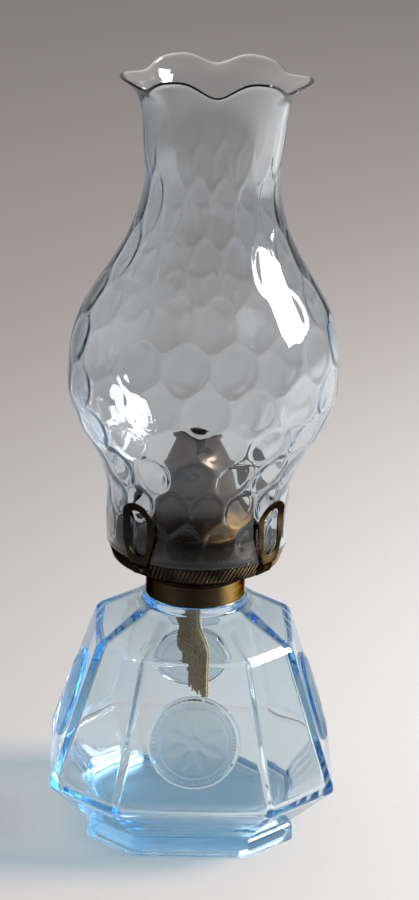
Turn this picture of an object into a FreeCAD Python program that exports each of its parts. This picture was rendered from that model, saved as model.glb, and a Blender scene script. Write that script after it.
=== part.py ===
import FreeCAD, Part

import math
import os

# Table oil lamp: a pressed glass oil font, a brass collar cemented on its neck, a flat-wick
# burner screwed into the collar, and a blown glass chimney held by the burner's four prongs.
# Millimetres, +Z up, the origin at the centre of the foot, the front towards -Y.
# Azimuths are in degrees from the front, towards +X.

# Oil font: pressed glass, a square with cut corners at every level.
foot_half = 44.5
foot_height = 6.8
foot_round = 1.2
foot_recess = 1.2
foot_rim = 7.0
groove_half = 42.9
groove_height = 1.8
underside_height = 20.1
girdle_half = 61.1
girdle_band = 2.4
body_height = 61.1
break_half = 42.1
break_band = 2.2
shoulder_height = 11.9
shoulder_half = 25.7
neck_radius = 22.6
neck_height = 4.9
stub_height = 6.8
stub_wall = 2.8
corner_bevel = 1.7
cavity_bevel = 3.2
font_wall = 4.4
floor_thickness = 10.0
wide_face_share = 0.564

# Round medallion pressed on each of the four wide faces.
medallion_radius = 19.9
medallion_proud = 0.9
medallion_rim = 1.7
medallion_rim_proud = 1.6
medallion_root = 1.5
medallion_place_share = 0.463

# Collar: pressed brass, set over the neck's stub in plaster cement.
collar_radius = 21.35
collar_sheet = 0.7
collar_height = 9.7
collar_lead = 1.4
thread_radius = 15.875
mouth_edge = 0.4

# Burner, in sheet brass. It is screwed home a little past square with the font.
burner_turn = 5.35
burner_sheet = 0.6
thread_gap = 0.075
skirt_depth = 7.8
flange_radius = 21.9
bowl_foot_radius = 21.4
bowl_bore_radius = 18.2
bowl_height = 7.3
bowl_hole_radius = 1.1
bowl_hole_count = 22
bowl_hole_rows_share = (0.34, 0.72)

# Gallery: a ring with a slant-milled band, and the ledge that the chimney stands on.
band_low_radius = 36.0
band_high_radius = 38.0
band_height = 6.2
band_bore_radius = 35.1
mill_count = 120
mill_depth = 0.45
mill_slant_share = 1.4
ledge_width = 1.6
upstand_radius = 35.85
upstand_height = 2.6

# Perforated plates inside the gallery, and the flame deflector on them.
air_plate_drop = 1.0
air_hole_radius = 1.3
air_hole_count = 14
air_hole_rings_share = (0.62, 0.84)
dome_plate_height = 7.0
dome_plate_low_radius = 33.0
dome_plate_high_radius = 28.4
dome_plate_bore = 19.6
dome_hole_radius = 1.2
dome_hole_count = 22
dome_hole_rows_share = (0.3, 0.72)
deflector_radius = 20.9
deflector_flange = 22.8
deflector_height = 37.5
deflector_length_radius = 19.0
slot_half_width = 4.0
slot_half_length = 14.6
slot_depth = 10.5
deflector_level_shares = (
    (0.00, 1.00, 0.00),
    (0.07, 0.985, 0.03),
    (0.20, 0.925, 0.20),
    (0.33, 0.81, 0.55),
    (0.60, 0.735, 0.80),
    (0.79, 0.625, 0.90),
    (0.93, 0.49, 0.95),
    (1.00, 0.36, 1.00),
)
deflector_end_share = 0.86
deflector_ring_points = 12

# Wick, its tube and the tube that vents the font.
wick_width = 25.2
wick_thickness = 2.4
wick_top = 1.0
wick_length = 102.5
wick_twist = 26.0
wick_straight = 64.8
wick_twist_shares = ((0.0, 0.0), (0.1, 0.2), (0.2, 0.55), (0.3, 0.85), (0.42, 1.0), (1.0, 1.0))
tube_gap = 0.5
tube_end_gap = 0.9
tube_sheet = 0.5
tube_above = 44.0
tube_below = 5.5
vent_radius = 1.9
vent_bore = 1.5
vent_offset = 7.5
vent_above = 38.0

# Wick raiser: a spindle with two spur wheels in a housing beside the wick tube.
spindle_radius = 1.2
spindle_gap = 0.05
spindle_height = 5.2
spindle_reach = 47.6
spindle_tail = 1.2
spur_radius = 4.2
spur_root = 3.1
spur_teeth = 12
spur_width = 1.2
spur_spacing = 6.0
spur_gap = 0.3
window_gap = 0.5
housing_half_length = 12.2
housing_room = 0.6
sleeve_radius = 1.95
sleeve_start = 26.5
sleeve_end = 35.0
thumb_radius = 7.8
thumb_width = 2.6
thumb_dish = 0.8
thumb_dish_radius = 5.4
thumb_hub_radius = 2.6
thumb_hub_width = 2.4
thumb_notch = 0.5
thumb_notches = 28

# Prongs that hold the chimney: strips with a long slot in a rounded loop.
prong_sheet = 0.7
prong_gap = 0.3
prong_azimuth = 45.0
prong_foot_width = 9.2
prong_loop_width = 16.6
prong_strand = 3.6
prong_height = 34.0
prong_drop = 5.9
prong_step = 1.6
prong_neck = 11.0
prong_flare = 2.6
prong_flare_height = 8.5
rivet_radius = 1.0
rivet_head_radius = 1.7
rivet_head = 0.7
rivet_tail = 0.5
rivet_drop = 3.5

# Chimney: blown glass, a straight base, a bulb, a neck and a rim that is crimped by hand in six lobes.
# The rim is a little oval. Its front lobes stand up, and the others curl outwards and droop.
# Over the prongs the glass was drawn a little off its axis, so it leans to the right.
fitter_radius = 38.7
bulb_radius = 57.6
chimney_neck_radius = 28.35
rim_radius = 37.8
rim_wave = 2.2
rim_oval = 1.6
rim_rise = 2.3
rim_front_rise = 1.0
rim_side_rise = 1.3
rim_tilt = 2.8
rim_droop = 1.5
rim_lobes = 6
rim_pinch = 1.5
rim_low_azimuth = -1.0
chimney_height = 205.7
chimney_lean = 3.2
chimney_wall = 2.3
rim_wall = 2.1
chimney_seat_gap = 0.3
chimney_ring_points = 24
base_profile_shares = ((0.0, 0.0), (0.045, 0.018), (0.093, 0.014), (0.141, 0.062), (0.200, 0.335),
                       (0.262, 0.706), (0.335, 0.984), (0.365, 1.0))
waist_profile_shares = ((0.393, 0.003), (0.451, 0.045), (0.519, 0.224), (0.587, 0.509),
                        (0.655, 0.765), (0.722, 0.928), (0.795, 1.0))
rim_profile_shares = ((0.868, 0.143, 0.0), (0.922, 0.24, 0.02), (0.956, 0.376, 0.15),
                      (0.981, 0.64, 0.5), (1.0, 1.0, 1.0))
lean_start_share = 0.093

overrun = 1.0
punch_sides = 8

# Heights that follow from the sizes above.
groove_z = foot_height + groove_height
girdle_z = groove_z + underside_height
break_z = girdle_z + body_height
shoulder_z = break_z + shoulder_height
neck_z = shoulder_z + neck_height
stub_z = neck_z + stub_height
collar_z = neck_z + collar_height
flange_z = collar_z + burner_sheet
bowl_z = flange_z + bowl_height
ledge_z = bowl_z + band_height
chimney_z = ledge_z + chimney_seat_gap
dome_z = ledge_z + dome_plate_height
tube_bottom_z = collar_z - tube_below
tube_top_z = flange_z + tube_above
spindle_z = flange_z + spindle_height
spindle_x = -(wick_thickness / 2 + spur_gap + spur_radius)
tube_half_width = wick_width / 2 + tube_end_gap + tube_sheet
tube_half_depth = wick_thickness / 2 + tube_gap + tube_sheet
prong_bore = fitter_radius + (bulb_radius - fitter_radius) * base_profile_shares[1][1] + prong_gap

up = FreeCAD.Vector(0, 0, 1)
origin = FreeCAD.Vector(0, 0, 0)


def at(x, y, z):
    return FreeCAD.Vector(x, y, z)


def polar(radius, azimuth, z):
    """The point at a radius and an azimuth from the front."""
    angle = math.radians(azimuth)
    return at(radius * math.sin(angle), -radius * math.cos(angle), z)


def turned(shape, angle, axis=up, centre=origin):
    copy = shape.copy()
    copy.rotate(centre, axis, angle)
    return copy


def moved(shape, x, y, z):
    copy = shape.copy()
    copy.translate(at(x, y, z))
    return copy


def revolved(points):
    """A ring or disc from its half section, given as (radius, z) points."""
    corners = [at(radius, 0, z) for radius, z in points]
    face = Part.Face(Part.makePolygon(corners + corners[:1]))
    return face.revolve(origin, up, 360)


def block(x_low, x_high, y_low, y_high, z_low, z_high):
    return Part.makeBox(x_high - x_low, y_high - y_low, z_high - z_low, at(x_low, y_low, z_low))


def joined(shapes):
    return shapes[0].multiFuse(shapes[1:]) if len(shapes) > 1 else shapes[0]


def on_line(low, high, z):
    """The half width at z on the straight side between two (z, half width) levels."""
    share = (z - low[0]) / (high[0] - low[0])
    return low[1] + share * (high[1] - low[1])


def cut_square(half, z, bevel):
    """A square with cut corners, its eight corners bevelled again, as a closed wire."""
    flat = wide_face_share * half
    corners = [at(x, y, z) for x, y in ((-flat, -half), (flat, -half), (half, -flat), (half, flat),
                                        (flat, half), (-flat, half), (-half, flat), (-half, -flat))]
    points = []
    for index, corner in enumerate(corners):
        before = (corners[index - 1] - corner).normalize()
        after = (corners[(index + 1) % len(corners)] - corner).normalize()
        points += [corner + before * bevel, corner + after * bevel]
    return Part.makePolygon(points + points[:1])


def faceted(levels, bevel):
    """A solid with flat sides through (z, half width) levels."""
    return Part.makeLoft([cut_square(half, z, bevel) for z, half in levels], True, True)


def ring(point_at, count):
    """A smooth closed wire through the points that point_at gives for azimuths all round."""
    curve = Part.BSplineCurve()
    curve.interpolate(Points=[point_at(360 * i / count) for i in range(count)], PeriodicFlag=True)
    return Part.Wire([curve.toShape()])


def flat_tube(half_width, half_depth, z_low, z_high):
    """A flattened round bar: two flat sides along Y, and half-round ends."""
    middle = half_width - half_depth
    sides = [Part.makeLine(at(side * half_depth, -middle, z_low), at(side * half_depth, middle, z_low))
             for side in (-1, 1)]
    ends = [Part.Arc(at(-half_depth, end * middle, z_low), at(0, end * half_width, z_low),
                     at(half_depth, end * middle, z_low)).toShape() for end in (-1, 1)]
    outline = Part.Wire(Part.__sortEdges__([sides[0], ends[1], sides[1], ends[0]]))
    return Part.Face(outline).extrude(at(0, 0, z_high - z_low))


def make_medallion():
    """A low disc with a raised round rim, its axis along +Z and the glass face at z = 0."""
    inner = medallion_radius - medallion_rim
    crown = medallion_rim / 3
    return revolved([(0, -medallion_root), (medallion_radius, -medallion_root), (medallion_radius, 0),
                     (medallion_radius - crown, medallion_rim_proud),
                     (inner + crown, medallion_rim_proud), (inner, medallion_proud),
                     (0, medallion_proud)])


def make_font():
    groove = (groove_z, groove_half)
    girdle_low = (girdle_z - girdle_band / 2, girdle_half)
    girdle_high = (girdle_z + girdle_band / 2, girdle_half)
    brim = (break_z, break_half)
    shoulder = (shoulder_z, shoulder_half)
    below = break_z - break_band / 2
    above = break_z + break_band / 2
    outside = faceted([(0, foot_half - foot_round), (foot_round, foot_half),
                       (foot_height - foot_round, foot_half), (foot_height, foot_half - foot_round),
                       groove, girdle_low, girdle_high, (below, on_line(girdle_high, brim, below)),
                       (above, on_line(brim, shoulder, above)), shoulder], corner_bevel)
    stub_radius = thread_radius + collar_sheet + mouth_edge + stub_wall
    neck = Part.makeCylinder(neck_radius, neck_z - break_z, at(0, 0, break_z))
    stub = Part.makeCylinder(stub_radius, stub_z - break_z, at(0, 0, break_z))
    tilt = math.degrees(math.atan2(girdle_half - break_half, body_height))
    place_z = girdle_z + medallion_place_share * body_height
    place_half = on_line(girdle_high, brim, place_z)
    medallion = moved(turned(make_medallion(), 90 - tilt, at(1, 0, 0)), 0, -place_half, place_z)
    glass = joined([outside, neck, stub] + [turned(medallion, 90 * side) for side in range(4)])
    cavity = faceted([(floor_thickness, groove_half - font_wall),
                      (girdle_z - girdle_band / 2, girdle_half - font_wall),
                      (girdle_z + girdle_band, girdle_half - font_wall),
                      (break_z - font_wall / 2, break_half - font_wall),
                      (shoulder_z - font_wall, stub_radius)], cavity_bevel)
    mouth_radius = stub_radius - stub_wall
    mouth = Part.makeCylinder(mouth_radius, stub_z - break_z + overrun, at(0, 0, break_z))
    recess = faceted([(-overrun, foot_half - foot_rim), (foot_recess, foot_half - foot_rim)],
                     corner_bevel)
    return glass.cut(joined([cavity, mouth])).cut(recess)


def make_collar():
    skirt = collar_radius - collar_sheet
    inner = thread_radius + collar_sheet
    lead_z = neck_z + collar_lead
    return revolved([(skirt, neck_z), (collar_radius, neck_z), (collar_radius, collar_z - collar_sheet),
                     (collar_radius - collar_sheet, collar_z), (thread_radius, collar_z),
                     (thread_radius, lead_z), (inner, lead_z), (inner, collar_z - collar_sheet),
                     (skirt, collar_z - collar_sheet)])


def make_cement():
    skirt = collar_radius - collar_sheet
    inner = thread_radius + collar_sheet
    stub_bore = inner + mouth_edge
    stub_radius = stub_bore + stub_wall
    lead_z = neck_z + collar_lead
    top_z = collar_z - collar_sheet
    return revolved([(stub_radius, neck_z), (skirt, neck_z), (skirt, top_z), (inner, top_z),
                     (inner, lead_z), (stub_bore, lead_z), (stub_bore, stub_z), (stub_radius, stub_z)])


def make_burner_base():
    """The threaded skirt, its flange on the collar, and the plate that closes the font."""
    skirt = thread_radius - thread_gap
    base = revolved([(0, collar_z), (skirt - burner_sheet, collar_z),
                     (skirt - burner_sheet, collar_z - skirt_depth), (skirt, collar_z - skirt_depth),
                     (skirt, collar_z), (flange_radius, collar_z), (flange_radius, flange_z),
                     (0, flange_z)])
    wick_hole = flat_tube(tube_half_width, tube_half_depth, collar_z - overrun, flange_z + overrun)
    vent_hole = Part.makeCylinder(vent_radius, burner_sheet + 2 * overrun,
                                  at(vent_offset, 0, collar_z - overrun))
    return base.cut(joined([wick_hole, vent_hole]))


def punch(radius, z_low, z_high):
    """A punch for a small air hole, an octagon as wide as the hole."""
    corners = [polar(radius, 360 * i / punch_sides, z_low) for i in range(punch_sides)]
    return Part.Face(Part.makePolygon(corners + corners[:1])).extrude(at(0, 0, z_high - z_low))


def sloped_holes(low, high, shares, count, radius, depth):
    """Punches square to a cone between two (radius, z) points, in rows at the given shares."""
    slope = math.degrees(math.atan2(high[1] - low[1], high[0] - low[0]))
    drills = []
    for row, share in enumerate(shares):
        place = (low[0] + share * (high[0] - low[0]), low[1] + share * (high[1] - low[1]))
        drill = moved(turned(punch(radius, -depth, depth), -slope, at(0, 1, 0)), place[0], 0, place[1])
        drills += [turned(drill, 360 * (i + row / 2) / count) for i in range(count)]
    return joined(drills)


def make_air_bowl():
    """The perforated bowl that lets air in, between the flange and the gallery."""
    seat = flange_z + burner_sheet
    low = (bowl_foot_radius, seat)
    high = (band_bore_radius, bowl_z)
    bowl = revolved([(bowl_bore_radius, flange_z), (bowl_foot_radius, flange_z),
                     (band_bore_radius, bowl_z - burner_sheet), (band_bore_radius, bowl_z + burner_sheet),
                     (band_bore_radius - burner_sheet, bowl_z + burner_sheet),
                     (band_bore_radius - burner_sheet, bowl_z), low, (bowl_bore_radius, seat)])
    holes = sloped_holes(low, high, bowl_hole_rows_share, bowl_hole_count, bowl_hole_radius,
                         2 * burner_sheet)
    sleeve = Part.makeCylinder(sleeve_radius, sleeve_end - sleeve_start,
                               at(spindle_x, sleeve_start, spindle_z), at(0, 1, 0))
    return bowl.cut(holes).cut(sleeve)


def make_gallery_ring():
    """The slant-milled band with its ledge and the upstand inside the chimney."""
    def milled(radius, z, shift):
        step = 180 / mill_count
        points = [polar(radius - (i % 2) * mill_depth, step * (i + shift), z)
                  for i in range(2 * mill_count)]
        return Part.makePolygon(points + points[:1])

    band = Part.makeLoft([milled(band_low_radius, bowl_z, 0),
                          milled(band_high_radius, ledge_z, 2 * mill_slant_share)], True, True)
    bore = Part.makeCylinder(band_bore_radius, band_height - burner_sheet, at(0, 0, bowl_z))
    ledge_bore = upstand_radius - burner_sheet - ledge_width
    top = Part.makeCylinder(ledge_bore, band_height + overrun, at(0, 0, bowl_z))
    upstand = revolved([(upstand_radius - burner_sheet, ledge_z - burner_sheet / 2),
                        (upstand_radius, ledge_z - burner_sheet / 2),
                        (upstand_radius, ledge_z + upstand_height),
                        (upstand_radius - burner_sheet, ledge_z + upstand_height)])
    return joined([band.cut(joined([bore, top])), upstand]).cut(make_rivets())


def make_air_plate():
    """The flat perforated plate round the wick tube, under the ledge."""
    top_z = ledge_z - air_plate_drop
    plate = Part.makeCylinder(band_bore_radius, burner_sheet, at(0, 0, top_z - burner_sheet))
    tools = [flat_tube(tube_half_width, tube_half_depth, bowl_z, dome_z),
             Part.makeCylinder(vent_radius, dome_z - bowl_z, at(vent_offset, 0, bowl_z))]
    for row, share in enumerate(air_hole_rings_share):
        hole = moved(punch(air_hole_radius, bowl_z, dome_z), 0, -band_bore_radius * share, 0)
        tools += [turned(hole, 360 * (i + row / 2) / air_hole_count) for i in range(air_hole_count)]
    return plate.cut(joined(tools))


def make_dome_plate():
    """The perforated ring that rises from the ledge and carries the deflector."""
    rim = upstand_radius - burner_sheet
    low = (dome_plate_low_radius, ledge_z + burner_sheet)
    high = (dome_plate_high_radius, dome_z)
    plate = revolved([(rim, ledge_z), (rim, ledge_z + burner_sheet), low, high, (dome_plate_bore, dome_z),
                      (dome_plate_bore, dome_z - burner_sheet),
                      (dome_plate_high_radius - burner_sheet, dome_z - burner_sheet),
                      (dome_plate_low_radius - burner_sheet, ledge_z)])
    holes = sloped_holes(low, high, dome_hole_rows_share, dome_hole_count, dome_hole_radius,
                         2 * burner_sheet)
    return plate.cut(holes)


def make_deflector():
    """The flame deflector: round at its foot, oval above, with a slot over the wick."""
    def shell(inset):
        levels = []
        for height_share, width_share, oval_share in deflector_level_shares:
            across = deflector_radius * width_share - inset
            end = deflector_length_radius if height_share < 1 else deflector_length_radius * deflector_end_share
            along = (deflector_radius * width_share * (1 - oval_share) + end * oval_share) - inset
            z = dome_z + deflector_height * height_share - inset * height_share
            levels.append(ring(lambda a, u=across, v=along, h=z: at(
                u * math.sin(math.radians(a)), -v * math.cos(math.radians(a)), h), deflector_ring_points))
        return Part.makeLoft(levels, True, False)

    flange = revolved([(deflector_radius - burner_sheet / 2, dome_z), (deflector_flange, dome_z),
                       (deflector_flange, dome_z + burner_sheet),
                       (deflector_radius - burner_sheet / 2, dome_z + burner_sheet)])
    top_z = dome_z + deflector_height
    slot = block(-slot_half_width, slot_half_width, -slot_half_length, slot_half_length,
                 top_z - slot_depth, top_z + overrun)
    return joined([shell(0), flange]).cut(shell(burner_sheet)).cut(slot)


def make_wick_tube():
    outside = flat_tube(tube_half_width, tube_half_depth, tube_bottom_z, tube_top_z)
    bore = flat_tube(tube_half_width - tube_sheet, tube_half_depth - tube_sheet,
                     tube_bottom_z - overrun, tube_top_z + overrun)
    reach = spur_radius + window_gap
    half = spur_width / 2 + window_gap
    windows = [block(-tube_half_depth - overrun, 0, side * spur_spacing - half,
                     side * spur_spacing + half, spindle_z - reach, spindle_z + reach)
               for side in (-1, 1)]
    return outside.cut(joined([bore] + windows))


def make_vent_tube():
    height = flange_z + vent_above - tube_bottom_z
    place = at(vent_offset, 0, tube_bottom_z)
    return Part.makeCylinder(vent_radius, height, place).cut(Part.makeCylinder(vent_bore, height, place))


def make_housing():
    """The pressed cover over the spur wheels, open towards the wick tube."""
    out = spindle_x - spur_radius - housing_room
    top_z = spindle_z + spur_radius + housing_room
    cover = block(out - burner_sheet, -tube_half_depth, -housing_half_length, housing_half_length,
                  flange_z, top_z + burner_sheet)
    room = block(out, overrun - tube_half_depth, burner_sheet - housing_half_length,
                 housing_half_length - burner_sheet, flange_z - overrun, top_z)
    bearing = Part.makeCylinder(spindle_radius + spindle_gap, 2 * housing_half_length + 2 * overrun,
                                at(spindle_x, -housing_half_length - overrun, spindle_z), at(0, 1, 0))
    return cover.cut(joined([room, bearing]))


def make_sleeve():
    length = sleeve_end - sleeve_start
    place = at(spindle_x, sleeve_start, spindle_z)
    along = at(0, 1, 0)
    bore = Part.makeCylinder(spindle_radius + spindle_gap, length, place, along)
    return Part.makeCylinder(sleeve_radius, length, place, along).cut(bore)


def make_spindle():
    start = -housing_half_length - spindle_tail
    return Part.makeCylinder(spindle_radius, spindle_reach - start,
                             at(spindle_x, start, spindle_z), at(0, 1, 0))


def make_spur_wheels():
    """Two star wheels on the spindle, just clear of the wick's face."""
    step = 180 / spur_teeth
    points = []
    for index in range(2 * spur_teeth):
        radius = spur_root if index % 2 else spur_radius
        angle = math.radians(step * index)
        points.append(at(radius * math.cos(angle), 0, radius * math.sin(angle)))
    star = Part.Face(Part.makePolygon(points + points[:1])).extrude(at(0, spur_width, 0))
    bore = Part.makeCylinder(spindle_radius, spur_width, origin, at(0, 1, 0))
    wheel = star.cut(bore)
    return Part.makeCompound([moved(wheel, spindle_x, side * spur_spacing - spur_width / 2, spindle_z)
                              for side in (-1, 1)])


def make_thumb_wheel():
    """The notched wheel on the spindle's outer end, dished on its outer face."""
    inner_y = spindle_reach - thumb_width
    wheel = revolved([(spindle_radius, -thumb_hub_width), (thumb_hub_radius, -thumb_hub_width),
                      (thumb_hub_radius, 0), (thumb_radius - thumb_notch, 0),
                      (thumb_radius, thumb_notch), (thumb_radius, thumb_width - thumb_notch),
                      (thumb_radius - thumb_notch, thumb_width), (thumb_dish_radius, thumb_width),
                      (thumb_dish_radius - thumb_dish, thumb_width - thumb_dish),
                      (thumb_hub_radius, thumb_width - thumb_dish), (thumb_hub_radius, thumb_width),
                      (spindle_radius, thumb_width)])
    radii = (thumb_radius, thumb_radius - thumb_notch)
    points = [polar(radii[i % 2], 180 * i / thumb_notches, -thumb_hub_width)
              for i in range(2 * thumb_notches)]
    toothed = Part.Face(Part.makePolygon(points + points[:1]))
    wheel = wheel.common(toothed.extrude(at(0, 0, thumb_hub_width + thumb_width)))
    return moved(turned(wheel, -90, at(1, 0, 0)), spindle_x, inner_y, spindle_z)


def prong_line():
    """The inner side of a prong's strip as (radius, z) points, from its foot to its tip."""
    slope = (band_high_radius - band_low_radius) / band_height
    foot_z = ledge_z - prong_drop
    top_z = ledge_z - prong_drop + prong_height
    return [(band_high_radius - slope * prong_drop, foot_z),
            (band_high_radius - slope * prong_step, ledge_z - prong_step), (prong_bore, ledge_z),
            (prong_bore, top_z - prong_flare_height), (prong_bore + prong_flare, top_z)]


def make_prong():
    """One prong at the front: a bent strip, cut to the outline of a slotted loop."""
    line = prong_line()
    width = prong_loop_width
    section = [at(width / 2, -radius, z) for radius, z in line]
    section += [at(width / 2, -radius - prong_sheet, z) for radius, z in reversed(line)]
    strip = Part.Face(Part.makePolygon(section + section[:1])).extrude(at(-width, 0, 0))
    foot = prong_foot_width / 2
    loop = prong_loop_width / 2
    foot_z = line[0][1]
    neck_z_low = ledge_z
    loop_z = neck_z_low + prong_neck
    crown_z = line[-1][1] - loop
    depth = prong_bore + prong_flare + 2 * overrun

    def plate(corners, top_half, arc_z, top_z):
        side = -depth
        points = [at(x, side, z) for x, z in corners]
        arc = Part.Arc(at(top_half, side, arc_z), at(0, side, top_z), at(-top_half, side, arc_z))
        edges = [Part.makeLine(a, b) for a, b in zip(points, points[1:])]
        return Part.Face(Part.Wire([*edges, arc.toShape()])).extrude(at(0, depth, 0))

    outline = plate([(-loop, crown_z), (-loop, loop_z), (-foot, neck_z_low), (-foot, foot_z),
                     (foot, foot_z), (foot, neck_z_low), (loop, loop_z), (loop, crown_z)],
                    loop, crown_z, line[-1][1])
    hole = loop - prong_strand
    slot_z = neck_z_low + prong_strand
    low = Part.Arc(at(-hole, -depth, slot_z + hole), at(0, -depth, slot_z), at(hole, -depth, slot_z + hole))
    high = Part.Arc(at(hole, -depth, crown_z), at(0, -depth, crown_z + hole), at(-hole, -depth, crown_z))
    sides = [Part.makeLine(at(hole, -depth, slot_z + hole), at(hole, -depth, crown_z)),
             Part.makeLine(at(-hole, -depth, crown_z), at(-hole, -depth, slot_z + hole))]
    slot = Part.Face(Part.Wire([low.toShape(), sides[0], high.toShape(), sides[1]]))
    return strip.common(outline).cut(slot.extrude(at(0, depth, 0)))


def make_rivet():
    """One rivet at the front: through the prong's foot and the milled band, square to both."""
    slope = (band_high_radius - band_low_radius) / band_height
    tilt = math.degrees(math.atan(slope))
    face = band_high_radius - slope * rivet_drop + prong_sheet
    bore_depth = face - band_bore_radius + rivet_tail
    rivet = revolved([(0, -bore_depth), (rivet_radius, -bore_depth), (rivet_radius, 0),
                      (rivet_head_radius, 0), (rivet_head_radius, rivet_head / 2),
                      (rivet_radius, rivet_head), (0, rivet_head)])
    return moved(turned(rivet, 90 + tilt, at(1, 0, 0)), 0, -face, ledge_z - rivet_drop)


def prong_places():
    return (("front_right", prong_azimuth), ("back_right", 180 - prong_azimuth),
            ("back_left", 180 + prong_azimuth), ("front_left", -prong_azimuth))


def make_rivets():
    return Part.makeCompound([turned(make_rivet(), azimuth) for name, azimuth in prong_places()])


def make_wick():
    """The flat cotton wick: straight where it runs in the tube, then hanging with a twist."""
    top_z = tube_top_z + wick_top
    bend_z = top_z - wick_straight
    bottom_z = top_z - wick_length
    half_width = wick_width / 2
    half_depth = wick_thickness / 2

    def outline(z, twist):
        corners = [at(-half_depth, -half_width, z), at(half_depth, -half_width, z),
                   at(half_depth, half_width, z), at(-half_depth, half_width, z)]
        return turned(Part.makePolygon(corners + corners[:1]), twist)

    levels = [outline(top_z, 0)]
    levels += [outline(bend_z + (bottom_z - bend_z) * fall, wick_twist * turn)
               for fall, turn in wick_twist_shares]
    return Part.makeLoft(levels, True, True)


def chimney_levels():
    """(height, mean radius, crimp) up the chimney: base to bulb, bulb to neck, neck to rim."""
    levels = [(share * chimney_height, fitter_radius + part * (bulb_radius - fitter_radius), 0)
              for share, part in base_profile_shares]
    levels += [(share * chimney_height, bulb_radius + part * (chimney_neck_radius - bulb_radius), 0)
               for share, part in waist_profile_shares]
    levels += [(share * chimney_height, chimney_neck_radius + part * (rim_radius - chimney_neck_radius),
                crimp) for share, part, crimp in rim_profile_shares]
    return levels


def make_chimney():
    """The chimney's glass wall, as an outer and an inner skin joined at the base and the rim."""
    def level(height, radius, crimp):
        share = height / chimney_height
        offset = chimney_lean * max(0, share - lean_start_share) / (1 - lean_start_share)

        def point(azimuth):
            front = math.cos(math.radians(azimuth))
            side = math.cos(math.radians(2 * azimuth))
            wave = 2 * ((1 + math.cos(math.radians(rim_lobes * azimuth))) / 2) ** rim_pinch - 1
            lobe = rim_rise + rim_front_rise * front + rim_side_rise * side
            rise = rim_tilt * front + rim_droop * side - lobe * wave
            place = polar(radius - crimp * (rim_wave * wave + rim_oval * side),
                          azimuth + rim_low_azimuth, chimney_z + height + crimp * rise)
            return place + at(offset, 0, 0)
        return ring(point, chimney_ring_points)

    outer = [level(*place) for place in chimney_levels()]
    inner = [level(height, radius - chimney_wall + crimp * (chimney_wall - rim_wall), crimp)
             for height, radius, crimp in chimney_levels()]
    skins = [Part.makeLoft(outer, False, False), Part.makeLoft(inner, False, False),
             Part.makeLoft([outer[-1], inner[-1]], False, True),
             Part.makeLoft([outer[0], inner[0]], False, True)]
    shell = Part.Shell([face for skin in skins for face in skin.Faces])
    shell.sewShape()
    glass = Part.Solid(Part.Shell(shell.Faces))
    return glass if glass.Volume > 0 else glass.reversed()


def main():
    os.makedirs("parts", exist_ok=True)
    fixed = {"font_glass": make_font(), "collar_cement": make_cement(), "collar": make_collar(),
             "chimney": make_chimney()}
    burner = {"burner_base": make_burner_base(), "air_bowl": make_air_bowl(),
              "gallery_ring": make_gallery_ring(), "air_plate": make_air_plate(),
              "dome_plate": make_dome_plate(), "deflector": make_deflector(),
              "wick_tube": make_wick_tube(), "vent_tube": make_vent_tube(),
              "spur_housing": make_housing(), "spindle_sleeve": make_sleeve(),
              "wick_spindle": make_spindle(), "spur_wheels": make_spur_wheels(),
              "thumb_wheel": make_thumb_wheel(), "wick": make_wick(), "prong_rivets": make_rivets()}
    prong = make_prong().cut(make_rivet())
    for name, azimuth in prong_places():
        burner["prong_" + name] = turned(prong, azimuth)
    nodes = dict(fixed)
    nodes.update({name: turned(shape, burner_turn) for name, shape in burner.items()})
    for name, shape in nodes.items():
        shape.exportStep("parts/" + name + ".step")
        print(f"{name}: {len(shape.Solids)} solid, {shape.Volume:.1f} mm3, valid {shape.isValid()}")


main()
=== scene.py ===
import math

import bmesh
import bpy
import numpy as np
from mathutils import Matrix, Vector, noise


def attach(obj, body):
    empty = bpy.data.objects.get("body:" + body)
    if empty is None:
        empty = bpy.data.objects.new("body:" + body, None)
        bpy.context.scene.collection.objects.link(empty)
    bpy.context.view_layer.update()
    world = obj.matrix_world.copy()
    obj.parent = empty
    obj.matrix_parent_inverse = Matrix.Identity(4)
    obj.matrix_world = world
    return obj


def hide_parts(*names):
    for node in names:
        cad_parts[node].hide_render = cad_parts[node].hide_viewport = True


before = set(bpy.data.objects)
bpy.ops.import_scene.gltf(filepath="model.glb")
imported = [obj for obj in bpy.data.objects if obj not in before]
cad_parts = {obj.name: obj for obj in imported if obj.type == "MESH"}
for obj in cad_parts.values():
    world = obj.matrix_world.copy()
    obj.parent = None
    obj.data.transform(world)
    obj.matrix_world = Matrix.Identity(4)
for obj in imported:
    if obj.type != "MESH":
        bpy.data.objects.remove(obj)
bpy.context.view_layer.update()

# The camera: a long lens, nearly level with the top of the lamp and well back from it, which looks
# down on it by some twenty degrees. It is held a little out of level, as the photograph was.
mm = 0.001
camera_place = Vector((-43.6, -1764.4, 830.0)) * mm
camera_turn, camera_dip, camera_roll = -1.415, 20.477, 1.6
lens_length, film_width, aim_shift = 176.6, 36.0, 0.01172

camera = bpy.data.objects.new("camera", bpy.data.cameras.new("camera"))
camera.data.lens = lens_length
camera.data.sensor_width = film_width
camera.data.shift_x = aim_shift
camera.matrix_world = (Matrix.Translation(camera_place)
                       @ Matrix.Rotation(math.radians(camera_turn), 4, "Z")
                       @ Matrix.Rotation(math.radians(90 - camera_dip), 4, "X")
                       @ Matrix.Rotation(math.radians(camera_roll), 4, "Z"))
bpy.context.scene.collection.objects.link(camera)
bpy.context.scene.camera = camera


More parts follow.
